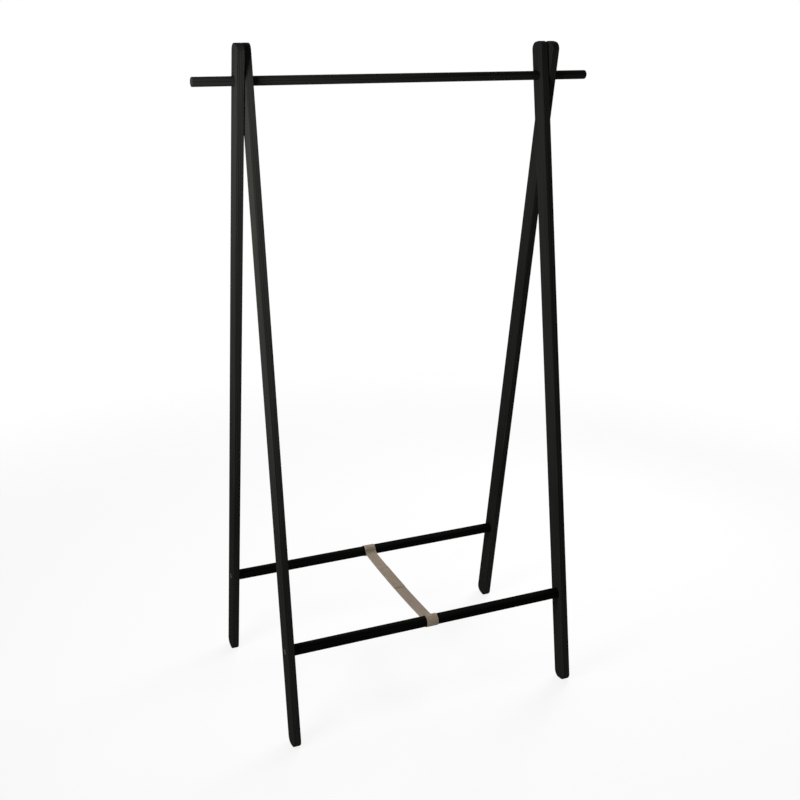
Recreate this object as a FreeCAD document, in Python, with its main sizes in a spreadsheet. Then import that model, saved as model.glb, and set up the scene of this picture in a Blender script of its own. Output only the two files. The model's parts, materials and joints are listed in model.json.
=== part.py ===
import FreeCAD, Part
import math
import os
import Sketcher

# Folding A-frame coat stand in stained wood.
# A front and a back frame, each two flat legs and a round stretcher, cross at a round hanging rail.
# The rail is pinned into the back legs and the front legs turn on it.
# A strap sewn round both stretchers stops the frames when the stand is open.
# Frame: origin on the floor, midway between the feet; +X along the rail, -Y to the front, +Z up.

DRIVING_SIZES = (
    ("rail_height", 1425, "hanging rail's axis above the floor"),
    ("rail_diameter", 20, "hanging rail"),
    ("rail_length", 920, "hanging rail from end to end"),
    ("rail_end_radius", 2.5, "rounding of the rail's ends"),
    ("lean_angle", 8.9, "degrees that each frame leans from upright"),
    ("leg_width", 42, "leg across its broad faces, in the plane of the fold"),
    ("leg_thickness", 17, "leg along the rail"),
    ("leg_top_reach", 75, "leg's top end past the rail's axis"),
    ("leg_end_radius", 16, "corner radius of a leg's two ends"),
    ("leg_edge_radius", 2, "rounding along a leg's edges"),
    ("foot_trim", 1, "depth sawn level off a foot's rounded end"),
    ("front_leg_gap", 672, "clear width between the front legs"),
    ("pivot_clearance", 0.05, "radial play of the rail in a front leg"),
    ("glue_clearance", 0.05, "radial room for glue round the rail, spigots, pins and inserts"),
    ("washer_thickness", 1.3, "pivot washer"),
    ("washer_diameter", 34, "pivot washer's rim"),
    ("washer_clearance", 0.2, "play beside and radially inside a pivot washer"),
    ("pin_diameter", 5, "dowel pin that locks the rail in a back leg"),
    ("pin_setback", 0.5, "pin's end below the leg's back edge"),
    ("pin_tip_setback", 1, "pin's tip below the rail's front"),
    ("stretcher_diameter", 25, "low bar between two legs"),
    ("stretcher_drop", 1223, "stretcher's axis below the rail's axis, along the leg"),
    ("spigot_diameter", 16, "turned end of a stretcher that seats in the leg"),
    ("spigot_length", 8, "spigot from its shoulder to its end"),
    ("spigot_end_gap", 0.5, "room past a spigot's end"),
    ("bolt_diameter", 6, "bolt through a leg into a stretcher"),
    ("bolt_length", 34, "bolt from the top of its head to its tip"),
    ("bolt_head_diameter", 12, "countersunk head"),
    ("bolt_head_height", 3, "cone of the countersunk head"),
    ("bolt_head_setback", 0.2, "head below the leg's outer face"),
    ("bolt_tip_chamfer", 0.8, "bevel of the bolt's tip"),
    ("bolt_clearance", 0.25, "radial room round the bolt and its head"),
    ("bolt_end_gap", 4, "room past the bolt's tip"),
    ("socket_width", 4, "hexagon socket across its flats"),
    ("socket_depth", 2.2, "hexagon socket"),
    ("insert_diameter", 10, "threaded sleeve in a stretcher's end"),
    ("insert_length", 16, "threaded sleeve"),
    ("strap_width", 28, "webbing"),
    ("strap_thickness", 2, "webbing"),
    ("strap_clearance", 0.3, "room between a loop and its stretcher"),
    ("strap_outer_end", 14, "webbing's outer end, in front of the strap's middle"),
    ("strap_inner_end", 94, "webbing's inner end, behind the strap's middle"),
    ("strap_drop", 2, "strap's seam below the stretchers' axes, level with them"),
    ("strap_sag", 5.2, "drop of the strap's middle below its two ends"),
    ("strap_corner_radius", 9, "hollow on each side where a loop closes"),
)

LEFT = -1
RIGHT = 1
FRONT = -1
BACK = 1
HEXAGON_TURN = 60
HEXAGON_SIDES = 6
FULL_TURN = 360
ARC_START = 1
ARC_END = 2
ARC_CENTRE = 3

document = FreeCAD.newDocument("FoldingCoatStand")
sheet = document.addObject("Spreadsheet::Sheet", "Sizes")
for row, (alias, size, meaning) in enumerate(DRIVING_SIZES, start=1):
    sheet.set(f"A{row}", meaning)
    sheet.set(f"B{row}", str(size))
    sheet.setAlias(f"B{row}", alias)
document.recompute()

# Lengths and places that follow from the driving sizes
HALF_WIDTH = "(Sizes.leg_width / 2)"
HALF_THICKNESS = "(Sizes.leg_thickness / 2)"
RAIL_RADIUS = "(Sizes.rail_diameter / 2)"
STRETCHER_RADIUS = "(Sizes.stretcher_diameter / 2)"
SPIGOT_RADIUS = "(Sizes.spigot_diameter / 2)"
BOLT_RADIUS = "(Sizes.bolt_diameter / 2)"
BOLT_HEAD_RADIUS = "(Sizes.bolt_head_diameter / 2)"
INSERT_RADIUS = "(Sizes.insert_diameter / 2)"
PIN_RADIUS = "(Sizes.pin_diameter / 2)"
PIVOT_GAP = "(Sizes.washer_thickness + Sizes.washer_clearance)"
LEG_PITCH = f"(Sizes.leg_thickness + {PIVOT_GAP})"
FRONT_LEG_X = f"(Sizes.front_leg_gap / 2 + {HALF_THICKNESS})"
BACK_LEG_X = f"({FRONT_LEG_X} + {LEG_PITCH})"
LEG_X = {FRONT: FRONT_LEG_X, BACK: BACK_LEG_X}
FOOT_OFFSET = f"(({HALF_WIDTH} - Sizes.leg_end_radius) * sin(Sizes.lean_angle))"
FOOT_DROP = f"(Sizes.rail_height + Sizes.foot_trim - Sizes.leg_end_radius - {FOOT_OFFSET})"
FOOT_REACH = f"(Sizes.leg_end_radius + {FOOT_DROP} / cos(Sizes.lean_angle))"
STRETCHER_Y = "(Sizes.stretcher_drop * sin(Sizes.lean_angle))"
STRETCHER_Z = "(Sizes.rail_height - Sizes.stretcher_drop * cos(Sizes.lean_angle))"
SOCKET_DEPTH = "(Sizes.spigot_length + Sizes.spigot_end_gap)"
LOOP_INSIDE = f"({STRETCHER_RADIUS} + Sizes.strap_clearance)"
LOOP_OUTSIDE = f"({LOOP_INSIDE} + Sizes.strap_thickness)"
SEAM_RADIUS = f"(({STRETCHER_Y} ^ 2 + Sizes.strap_sag ^ 2) / (2 * Sizes.strap_sag))"
SEAM_CENTRE = f"({STRETCHER_Z} - Sizes.strap_drop - Sizes.strap_sag + {SEAM_RADIUS})"


def new_body(label):
    """Start a sub-part."""
    body = document.addObject("PartDesign::Body", label)
    body.Label = label
    return body


def new_sketch(body, role, name, lift=None):
    """Start a sketch on one of the body's own planes, lifted along the sketch's upright axis."""
    sketch = body.newObject("Sketcher::SketchObject", f"{body.Name}_{name}")
    plane = next(datum for datum in body.Origin.OriginFeatures if datum.Role == role)
    sketch.AttachmentSupport = [(plane, "")]
    sketch.MapMode = "FlatFace"
    if lift:
        sketch.setExpression("AttachmentOffset.Base.y", lift)
    return sketch


def hold_point(sketch, geometry, point, across, up):
    """Hold a sketch point at two expressions measured from the sketch's origin."""
    for kind, place in (("DistanceX", across), ("DistanceY", up)):
        distance = float(sketch.evalExpression(place))
        number = sketch.addConstraint(Sketcher.Constraint(kind, -1, 1, geometry, point, distance))
        sketch.setExpression(f"Constraints[{number}]", place)


def add_outline(sketch, corners):
    """Join the corners with straight lines into one closed outline."""
    points = []
    for across, up in corners:
        points.append(FreeCAD.Vector(sketch.evalExpression(across), sketch.evalExpression(up), 0))
    count = len(corners)
    for index, start in enumerate(points):
        sketch.addGeometry(Part.LineSegment(start, points[(index + 1) % count]))
    for index, (across, up) in enumerate(corners):
        sketch.addConstraint(Sketcher.Constraint("Coincident", index, 2, (index + 1) % count, 1))
        hold_point(sketch, index, 1, across, up)


def add_circle(sketch, across, up, radius):
    """Add a circle whose centre and radius follow expressions."""
    centre = FreeCAD.Vector(sketch.evalExpression(across), sketch.evalExpression(up), 0)
    size = float(sketch.evalExpression(radius))
    number = sketch.addGeometry(Part.Circle(centre, FreeCAD.Vector(0, 0, 1), size))
    hold_point(sketch, number, 3, across, up)
    limit = sketch.addConstraint(Sketcher.Constraint("Radius", number, size))
    sketch.setExpression(f"Constraints[{limit}]", radius)


def add_hanging_arc(sketch, up, radius, start, end):
    """Add the lower arc of a circle centred on the upright axis, from one distance across to another."""
    centre = FreeCAD.Vector(0, sketch.evalExpression(up), 0)
    size = float(sketch.evalExpression(radius))
    circle = Part.Circle(centre, FreeCAD.Vector(0, 0, 1), size)
    reaches = [float(sketch.evalExpression(across)) for across in (start, end)]
    turns = [math.asin(reach / size) - math.pi / 2 for reach in reaches]
    number = sketch.addGeometry(Part.ArcOfCircle(circle, *turns))
    hold_point(sketch, number, ARC_CENTRE, "0", up)
    limit = sketch.addConstraint(Sketcher.Constraint("Radius", number, size))
    sketch.setExpression(f"Constraints[{limit}]", radius)
    for point, across, reach in zip((ARC_START, ARC_END), (start, end), reaches):
        limit = sketch.addConstraint(Sketcher.Constraint("DistanceX", -1, 1, number, point, reach))
        sketch.setExpression(f"Constraints[{limit}]", across)
    return number


def add_pad(body, sketch, length):
    """Thicken a sketch equally to both sides."""
    pad = body.newObject("PartDesign::Pad", f"{sketch.Name}_pad")
    pad.Profile = sketch
    pad.SideType = "Symmetric"
    pad.setExpression("Length", length)
    return pad


def cut_through(body, sketch):
    """Cut a sketch right through the body, to both sides of its plane."""
    pocket = body.newObject("PartDesign::Pocket", f"{sketch.Name}_cut")
    pocket.Profile = sketch
    pocket.Type = "ThroughAll"
    pocket.SideType = "Symmetric"
    return pocket


def turn_profile(body, sketch, kind):
    """Turn a half section about the sketch's level axis, to add or to cut."""
    feature = body.newObject(f"PartDesign::{kind}", f"{sketch.Name}_turned")
    feature.Profile = sketch
    feature.ReferenceAxis = (sketch, ["H_Axis"])
    feature.Angle = FULL_TURN
    return feature


def round_edges(body, base, radius, chosen):
    """Round those edges of the last feature that the test picks."""
    document.recompute()
    names = [f"Edge{n}" for n, edge in enumerate(base.Shape.Edges, start=1) if chosen(edge)]
    fillet = body.newObject("PartDesign::Fillet", f"{base.Name}_rounded")
    fillet.Base = (base, names)
    fillet.setExpression("Radius", radius)
    return fillet


def place(body, x="0", y="0", z="0", lean=0):
    """Set a body by its origin and lean it about the rail's direction."""
    axis = FreeCAD.Vector(lean or 1, 0, 0)
    angle = sheet.lean_angle if lean else 0
    body.Placement = FreeCAD.Placement(FreeCAD.Vector(), FreeCAD.Rotation(axis, angle))
    for letter, distance in zip("xyz", (x, y, z)):
        body.setExpression(f"Placement.Base.{letter}", distance)
    if lean:
        body.setExpression("Placement.Rotation.Angle", "Sizes.lean_angle")


def runs_along_x(edge):
    """Tell a leg's corner edges, which run along the rail."""
    low, high = edge.BoundBox.XMin, edge.BoundBox.XMax
    return high - low > sheet.leg_thickness / 2


def lies_on_broad_face(edge):
    """Tell the edges round a leg's two broad faces."""
    return edge.BoundBox.XLength < sheet.leg_thickness / 2


def is_end_rim(edge):
    """Tell the round edges of a bar's ends."""
    return edge.BoundBox.XLength < sheet.rail_diameter / 2


def floor_line(across, frame):
    """Height of the floor in a leg's own upright frame, at a distance across the leg."""
    slope = f"({across}) * sin(Sizes.lean_angle) * {frame}"
    return f"((-Sizes.rail_height - {slope}) / cos(Sizes.lean_angle))"


def make_leg(label, frame, side):
    """Flat leg with rounded ends, level foot, rail bore and the seat for its stretcher."""
    body = new_body(label)
    blank = new_sketch(body, "YZ_Plane", "blank")
    top, bottom = "Sizes.leg_top_reach", f"-{FOOT_REACH}"
    front, back = f"-{HALF_WIDTH}", HALF_WIDTH
    add_outline(blank, ((front, bottom), (back, bottom), (back, top), (front, top)))
    pad = add_pad(body, blank, "Sizes.leg_thickness")
    ends = round_edges(body, pad, "Sizes.leg_end_radius", runs_along_x)
    round_edges(body, ends, "Sizes.leg_edge_radius", lies_on_broad_face)

    foot = new_sketch(body, "YZ_Plane", "foot")
    near, far = "-Sizes.leg_width", "Sizes.leg_width"
    below = f"-({FOOT_REACH} + Sizes.leg_width)"
    near_floor, far_floor = floor_line(near, frame), floor_line(far, frame)
    add_outline(foot, ((near, near_floor), (near, below), (far, below), (far, far_floor)))
    cut_through(body, foot)

    play = "Sizes.pivot_clearance" if frame == FRONT else "Sizes.glue_clearance"
    bore = new_sketch(body, "YZ_Plane", "bore")
    add_circle(bore, "0", "0", f"({RAIL_RADIUS} + {play})")
    cut_through(body, bore)

    seat = new_sketch(body, "XZ_Plane", "seat", lift="-Sizes.stretcher_drop")
    inside, outside = f"(-{side} * {HALF_THICKNESS})", f"({side} * {HALF_THICKNESS})"
    overrun = f"({side} * Sizes.spigot_end_gap)"
    socket_end = f"({inside} + {side} * {SOCKET_DEPTH})"
    sink_start = f"({outside} - {side} * (Sizes.bolt_head_height + Sizes.bolt_head_setback))"
    sink_end = f"({outside} - {side} * Sizes.bolt_head_setback)"
    socket = f"({SPIGOT_RADIUS} + Sizes.glue_clearance)"
    shank = f"({BOLT_RADIUS} + Sizes.bolt_clearance)"
    head = f"({BOLT_HEAD_RADIUS} + Sizes.bolt_clearance)"
    add_outline(seat, (
        (f"({inside} - {overrun})", "0"), (f"({inside} - {overrun})", socket),
        (socket_end, socket), (socket_end, shank), (sink_start, shank), (sink_end, head),
        (f"({outside} + {overrun})", head), (f"({outside} + {overrun})", "0")))
    turn_profile(body, seat, "Groove")

    if frame == BACK:
        pin_hole = new_sketch(body, "XZ_Plane", "pin_hole")
        add_circle(pin_hole, "0", "0", f"({PIN_RADIUS} + Sizes.glue_clearance)")
        drilled = body.newObject("PartDesign::Pocket", f"{label}_pin_hole_cut")
        drilled.Profile = pin_hole
        drilled.setExpression("Length", "Sizes.leg_width")
    place(body, x=f"{side} * {LEG_X[frame]}", z="Sizes.rail_height", lean=frame)
    return body


def make_rail():
    """Round hanging rail with rounded ends, drilled across for the two lock pins."""
    body = new_body("hanging_rail")
    section = new_sketch(body, "YZ_Plane", "section")
    add_circle(section, "0", "0", RAIL_RADIUS)
    bar = add_pad(body, section, "Sizes.rail_length")
    round_edges(body, bar, "Sizes.rail_end_radius", is_end_rim)
    holes = new_sketch(body, "XZ_Plane", "pin_holes")
    for side in (LEFT, RIGHT):
        add_circle(holes, f"{side} * {BACK_LEG_X}", "0", f"({PIN_RADIUS} + Sizes.glue_clearance)")
    cut_through(body, holes)
    place(body, z="Sizes.rail_height", lean=BACK)
    return body


def make_rail_pin(label, side):
    """Dowel pin set in from a back leg's back edge and across the rail."""
    body = new_body(label)
    section = new_sketch(body, "XZ_Plane", "section")
    add_circle(section, "0", "0", PIN_RADIUS)
    pin = body.newObject("PartDesign::Pad", f"{label}_pad")
    pin.Profile = section
    pin.SideType = "Two sides"
    pin.setExpression("Length", f"{RAIL_RADIUS} - Sizes.pin_tip_setback")
    pin.setExpression("Length2", f"{HALF_WIDTH} - Sizes.pin_setback")
    place(body, x=f"{side} * {BACK_LEG_X}", z="Sizes.rail_height", lean=BACK)
    return body


def make_washer(label, side):
    """Pivot washer on the rail, against the back leg's inner face."""
    body = new_body(label)
    section = new_sketch(body, "YZ_Plane", "section")
    add_circle(section, "0", "0", "(Sizes.washer_diameter / 2)")
    add_circle(section, "0", "0", f"({RAIL_RADIUS} + Sizes.washer_clearance)")
    add_pad(body, section, "Sizes.washer_thickness")
    seat = f"({BACK_LEG_X} - {HALF_THICKNESS} - Sizes.washer_thickness / 2)"
    place(body, x=f"{side} * {seat}", z="Sizes.rail_height")
    return body


def shoulder_x(frame):
    """Distance from the middle to the leg's inner face, where the stretcher's shoulder seats."""
    return f"({LEG_X[frame]} - {HALF_THICKNESS})"


def make_stretcher(label, frame):
    """Round bar with a spigot at each end, bored for the threaded sleeves and bolts."""
    body = new_body(label)
    shoulder = shoulder_x(frame)
    tip = f"({shoulder} + Sizes.spigot_length)"
    sleeve_end = f"({tip} - Sizes.insert_length)"
    head_top = f"({LEG_X[frame]} + {HALF_THICKNESS} - Sizes.bolt_head_setback)"
    bore_end = f"({head_top} - Sizes.bolt_length - Sizes.bolt_end_gap)"
    sleeve = f"({INSERT_RADIUS} + Sizes.glue_clearance)"
    shank = f"({BOLT_RADIUS} + Sizes.bolt_clearance)"
    half = (
        (bore_end, "0"), (bore_end, shank), (sleeve_end, shank), (sleeve_end, sleeve), (tip, sleeve),
        (tip, SPIGOT_RADIUS), (shoulder, SPIGOT_RADIUS), (shoulder, STRETCHER_RADIUS))
    other_half = tuple((f"(-{across})", up) for across, up in reversed(half))
    section = new_sketch(body, "XZ_Plane", "section")
    add_outline(section, half + other_half)
    turn_profile(body, section, "Revolution")
    place(body, y=f"{frame} * {STRETCHER_Y}", z=STRETCHER_Z)
    return body


def make_insert(label, frame, side):
    """Threaded sleeve, flush with the end of a stretcher's spigot."""
    body = new_body(label)
    section = new_sketch(body, "YZ_Plane", "section")
    add_circle(section, "0", "0", INSERT_RADIUS)
    add_circle(section, "0", "0", f"({BOLT_RADIUS} + Sizes.glue_clearance)")
    add_pad(body, section, "Sizes.insert_length")
    middle = f"({shoulder_x(frame)} + Sizes.spigot_length - Sizes.insert_length / 2)"
    place(body, x=f"{side} * {middle}", y=f"{frame} * {STRETCHER_Y}", z=STRETCHER_Z)
    return body


def make_bolt(label, frame, side):
    """Countersunk bolt with a hexagon socket, its head just below the leg's outer face."""
    body = new_body(label)
    section = new_sketch(body, "XZ_Plane", "section")
    neck = f"(-{side} * Sizes.bolt_head_height)"
    tip = f"(-{side} * Sizes.bolt_length)"
    bevel = f"({tip} + {side} * Sizes.bolt_tip_chamfer)"
    tip_radius = f"({BOLT_RADIUS} - Sizes.bolt_tip_chamfer)"
    add_outline(section, (
        ("0", "0"), ("0", BOLT_HEAD_RADIUS), (neck, BOLT_RADIUS), (bevel, BOLT_RADIUS),
        (tip, tip_radius), (tip, "0")))
    turn_profile(body, section, "Revolution")
    socket = new_sketch(body, "YZ_Plane", "socket")
    reach = "Sizes.socket_width / sqrt(3)"
    turns = [HEXAGON_TURN * corner for corner in range(HEXAGON_SIDES)]
    add_outline(socket, [(f"({reach} * cos({turn}))", f"({reach} * sin({turn}))") for turn in turns])
    pocket = body.newObject("PartDesign::Pocket", f"{label}_socket_cut")
    pocket.Profile = socket
    pocket.Reversed = side == LEFT
    pocket.setExpression("Length", "Sizes.socket_depth")
    head_top = f"({LEG_X[frame]} + {HALF_THICKNESS} - Sizes.bolt_head_setback)"
    place(body, x=f"{side} * {head_top}", y=f"{frame} * {STRETCHER_Y}", z=STRETCHER_Z)
    return body


def closes_a_loop(edge):
    """Tell the strap's edges where a loop meets the band's top or its underside."""
    inwards = float(sheet.evalExpression(STRETCHER_Y)) - abs(edge.CenterOfMass.y)
    below = float(sheet.evalExpression(STRETCHER_Z)) - edge.CenterOfMass.z
    reach = float(sheet.evalExpression(LOOP_OUTSIDE))
    on_loop = abs(math.hypot(inwards, below) - reach) < sheet.strap_clearance
    return on_loop and inwards > 0 and below > 0 and edge.BoundBox.XLength > sheet.strap_width / 2


def make_strap():
    """Ring of webbing round both stretchers, sewn flat between them, where its two ends overlap."""
    body = new_body("strap")
    band = new_sketch(body, "YZ_Plane", "band")
    front_bar, back_bar = f"(-{STRETCHER_Y})", STRETCHER_Y
    outer_end, inner_end = "(-Sizes.strap_outer_end)", "Sizes.strap_inner_end"
    under = f"({SEAM_RADIUS} + Sizes.strap_thickness)"
    over = f"({SEAM_RADIUS} - Sizes.strap_thickness)"
    over_overlap = f"({SEAM_RADIUS} - 2 * Sizes.strap_thickness)"
    underside = add_hanging_arc(band, SEAM_CENTRE, under, front_bar, back_bar)
    back_top = add_hanging_arc(band, SEAM_CENTRE, over, inner_end, back_bar)
    overlap_top = add_hanging_arc(band, SEAM_CENTRE, over_overlap, outer_end, inner_end)
    front_top = add_hanging_arc(band, SEAM_CENTRE, over, front_bar, outer_end)
    ends = (
        ((underside, ARC_END), (back_top, ARC_END)), ((back_top, ARC_START), (overlap_top, ARC_END)),
        ((overlap_top, ARC_START), (front_top, ARC_END)), ((front_top, ARC_START), (underside, ARC_START)))
    for first, last in ends:
        line = band.addGeometry(Part.LineSegment(band.getPoint(*first), band.getPoint(*last)))
        band.addConstraint(Sketcher.Constraint("Coincident", line, ARC_START, *first))
        band.addConstraint(Sketcher.Constraint("Coincident", line, ARC_END, *last))
    add_pad(body, band, "Sizes.strap_width")
    loops = new_sketch(body, "YZ_Plane", "loops")
    bars = new_sketch(body, "YZ_Plane", "bars")
    for frame in (FRONT, BACK):
        add_circle(loops, f"{frame} * {STRETCHER_Y}", STRETCHER_Z, LOOP_OUTSIDE)
        add_circle(bars, f"{frame} * {STRETCHER_Y}", STRETCHER_Z, LOOP_INSIDE)
    joined = add_pad(body, loops, "Sizes.strap_width")
    round_edges(body, joined, "Sizes.strap_corner_radius", closes_a_loop)
    cut_through(body, bars)
    return body


SIDE_NAMES = {LEFT: "left", RIGHT: "right"}
FRAME_NAMES = {FRONT: "front", BACK: "back"}

pieces = [make_rail(), make_strap()]
for side, side_name in SIDE_NAMES.items():
    pieces.append(make_washer(f"{side_name}_pivot_washer", side))
    pieces.append(make_rail_pin(f"{side_name}_rail_pin", side))
for frame, frame_name in FRAME_NAMES.items():
    pieces.append(make_stretcher(f"{frame_name}_stretcher", frame))
    for side, side_name in SIDE_NAMES.items():
        pieces.append(make_leg(f"{frame_name}_{side_name}_leg", frame, side))
        pieces.append(make_bolt(f"{frame_name}_{side_name}_bolt", frame, side))
        pieces.append(make_insert(f"{frame_name}_{side_name}_insert", frame, side))

document.recompute()
for item in document.Objects:
    if "Invalid" in item.State or "Error" in item.State:
        raise RuntimeError(f"{item.Label} failed: {item.State}")
for piece in pieces:
    if piece.Shape.isNull() or not piece.Shape.isValid():
        raise RuntimeError(f"{piece.Label} has no valid shape")

os.makedirs("parts", exist_ok=True)
for piece in pieces:
    piece.Shape.exportStep(f"parts/{piece.Label}.step")
    box = piece.Shape.optimalBoundingBox(False, False)
    extents = f"{box.XLength:.1f} x {box.YLength:.1f} x {box.ZLength:.1f} mm"
    print(f"{piece.Label}: {extents}, {piece.Shape.Volume:.0f} mm3")
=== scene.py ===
"""Looks of a folding coat stand: black-stained wood, a webbing strap, a pale floor and soft light.

The stand's solids are loaded as they are and get their finishes here. The strap is made anew, as a
ring of webbing whose ends overlap and are sewn. Lengths are in metres, and angles in degrees unless a
docstring says radians.
"""

from __future__ import annotations

import cmath
import json
import logging
import math
from abc import ABC, abstractmethod
from dataclasses import dataclass, replace
from enum import Enum
from functools import cached_property, reduce
from operator import add
from typing import Any, Iterable, Mapping, Optional, Union

import bpy
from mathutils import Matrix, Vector

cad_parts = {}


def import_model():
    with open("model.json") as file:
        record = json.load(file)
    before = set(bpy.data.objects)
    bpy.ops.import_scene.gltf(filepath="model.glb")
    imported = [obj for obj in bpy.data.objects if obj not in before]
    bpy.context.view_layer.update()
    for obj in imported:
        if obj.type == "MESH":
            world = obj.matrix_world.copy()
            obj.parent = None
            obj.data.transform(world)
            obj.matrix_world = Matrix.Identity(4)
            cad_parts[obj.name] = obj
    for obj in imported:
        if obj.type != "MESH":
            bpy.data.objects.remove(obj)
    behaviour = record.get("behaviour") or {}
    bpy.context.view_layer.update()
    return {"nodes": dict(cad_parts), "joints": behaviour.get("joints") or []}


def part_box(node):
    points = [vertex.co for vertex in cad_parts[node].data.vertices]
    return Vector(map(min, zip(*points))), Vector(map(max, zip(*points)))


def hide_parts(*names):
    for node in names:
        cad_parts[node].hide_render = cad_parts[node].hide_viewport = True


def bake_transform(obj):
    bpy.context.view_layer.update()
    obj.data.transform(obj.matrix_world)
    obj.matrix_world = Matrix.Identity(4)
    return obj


LOG = logging.getLogger("coat_stand")

Pair = tuple[float, float]
Triple = tuple[float, float, float]
Colour = Triple
Value = Union["Shade", float]

WHITE: Colour = (1.0, 1.0, 1.0)
FULL_TURN = 2 * math.pi
HALF = 0.5
# Turns of a bar whose length runs along X, and of one whose length runs along Y
ALONG_X: Triple = (0.0, 90.0, 0.0)
ALONG_Y: Triple = (90.0, 0.0, 0.0)
# Turn about X of a camera that looks level
LEVEL = 90.0


class Shade:
    """One output of a shader node, on which arithmetic adds Math nodes."""

    def __init__(self, recipe: Recipe, socket: Optional[bpy.types.NodeSocket]) -> None:
        """Keeps the recipe that the socket belongs to, and the socket."""
        self.recipe = recipe
        self.socket = socket

    def out(self, name: str) -> Shade:
        """Another output of the same node."""
        return Shade(self.recipe, self.socket.node.outputs[name])

    def __add__(self, other: Value) -> Shade:
        """This value plus another."""
        return self.recipe.math("ADD", self, other)

    def __radd__(self, other: Value) -> Shade:
        """Another value plus this one."""
        return self.recipe.math("ADD", other, self)

    def __sub__(self, other: Value) -> Shade:
        """This value less another."""
        return self.recipe.math("SUBTRACT", self, other)

    def __rsub__(self, other: Value) -> Shade:
        """Another value less this one."""
        return self.recipe.math("SUBTRACT", other, self)

    def __mul__(self, other: Value) -> Shade:
        """This value times another."""
        return self.recipe.math("MULTIPLY", self, other)

    def __rmul__(self, other: Value) -> Shade:
        """Another value times this one."""
        return self.recipe.math("MULTIPLY", other, self)

    def __abs__(self) -> Shade:
        """This value without its sign."""
        return self.recipe.math("ABSOLUTE", self)

    def sine(self) -> Shade:
        """The sine of this value, taken in radians."""
        return self.recipe.math("SINE", self)

    def root(self) -> Shade:
        """The square root of this value."""
        return self.recipe.math("SQRT", self)

    def larger(self, other: Value) -> Shade:
        """The larger of this value and another."""
        return self.recipe.math("MAXIMUM", self, other)

    def rise(self, low: float, high: float) -> Shade:
        """A smooth step that is 0 below low and 1 above high."""
        limits = {"Value": self, "From Min": low, "From Max": high}
        return self.recipe.node("ShaderNodeMapRange", {"interpolation_type": "SMOOTHSTEP"}, limits)

    def waves(self, step: float) -> Shade:
        """Waves from 0 to 1 along this value, one to each step."""
        return HALF + HALF * (self * (FULL_TURN / step)).sine()


def total(shares: Iterable[float], shades: Iterable[Shade]) -> Shade:
    """The sum of some shades, each times its share."""
    return reduce(add, (share * shade for share, shade in zip(shares, shades)))


def distance(first: Shade, second: Shade) -> Shade:
    """How far a point lies from an axis, by its two offsets across it."""
    return (first * first + second * second).root()


def scaled(colour: Colour, share: float) -> Colour:
    """A colour with each of its parts times a share."""
    return tuple(share * part for part in colour)


class Recipe:
    """The nodes of one material, or of the world."""

    # Sockets of a Mix node that mixes colours
    MIX_SHARE, MIX_FIRST, MIX_SECOND, MIX_RESULT = 0, 6, 7, 2

    def __init__(self, tree: bpy.types.NodeTree) -> None:
        """Starts from an empty node tree."""
        self.tree = tree
        tree.nodes.clear()

    def node(
        self,
        kind: str,
        settings: Optional[Mapping[str, Any]] = None,
        inputs: Optional[Mapping[Union[str, int], Any]] = None,
        output: Union[str, int] = 0,
    ) -> Shade:
        """Adds one node.

        Args:
            kind: the node's type.
            settings: its properties, which are set first.
            inputs: values or links of its sockets, by name or number.
            output: the output to return.

        Returns:
            The chosen output, or an empty one for a node that ends the tree.
        """
        made = self.tree.nodes.new(kind)
        for name, value in (settings or {}).items():
            setattr(made, name, value)
        for key, value in (inputs or {}).items():
            self._feed(made.inputs[key], value)
        return Shade(self, made.outputs[output] if len(made.outputs) else None)

    def _feed(self, socket: bpy.types.NodeSocket, value: Any) -> None:
        """Links a socket to a shade, or sets its own value.

        Args:
            socket: the input socket.
            value: a shade, a number, a vector or a colour.
        """
        if isinstance(value, Shade):
            self.tree.links.new(value.socket, socket)
        elif socket.type == "RGBA":
            socket.default_value = (*value, 1.0)
        else:
            socket.default_value = value

    def math(self, operation: str, *values: Value) -> Shade:
        """Adds one Math node on these values."""
        return self.node("ShaderNodeMath", {"operation": operation}, dict(enumerate(values)))

    def coordinates(self, kind: str) -> Shade:
        """A point's place on its piece, as Object coordinates or on the UV map."""
        return self.node("ShaderNodeTexCoord", None, None, kind)

    def axes(self, place: Shade) -> Shade:
        """The X of a place, whose node also gives its Y and its Z."""
        return self.node("ShaderNodeSeparateXYZ", None, {"Vector": place}, "X")

    def stretched(self, place: Shade, stretch: Triple) -> Shade:
        """A place with each of its coordinates multiplied."""
        return self.node("ShaderNodeVectorMath", {"operation": "MULTIPLY"}, {0: place, 1: stretch})

    def noise(self, place: Shade, stretch: Triple, detail: float = 2.0) -> Shade:
        """Smooth noise from 0 to 1, with this many cells to the metre along each axis."""
        inputs = {"Vector": self.stretched(place, stretch), "Scale": 1.0, "Detail": detail}
        return self.node("ShaderNodeTexNoise", None, inputs)

    def mix(self, share: Value, first: Union[Shade, Colour], second: Union[Shade, Colour]) -> Shade:
        """A colour between two, which is the second where the share is 1."""
        inputs = {self.MIX_SHARE: share, self.MIX_FIRST: first, self.MIX_SECOND: second}
        return self.node("ShaderNodeMix", {"data_type": "RGBA"}, inputs, self.MIX_RESULT)

    def bump(self, height: Shade, depth: float) -> Shade:
        """A normal for a relief of this depth, where height goes from 0 to 1."""
        return self.node("ShaderNodeBump", None, {"Height": height, "Distance": depth, "Strength": 1.0})

    def end(self, sockets: Mapping[str, Any]) -> None:
        """Ends a material in a Principled shader with these sockets."""
        shader = self.node("ShaderNodeBsdfPrincipled", None, sockets)
        self.node("ShaderNodeOutputMaterial", None, {"Surface": shader})


def new_material(name: str) -> tuple[bpy.types.Material, Recipe]:
    """Makes an empty material.

    Args:
        name: the material's name.

    Returns:
        The material, and the recipe that fills its nodes.
    """
    material = bpy.data.materials.new(name)
    material.use_nodes = True
    return material, Recipe(material.node_tree)


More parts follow.
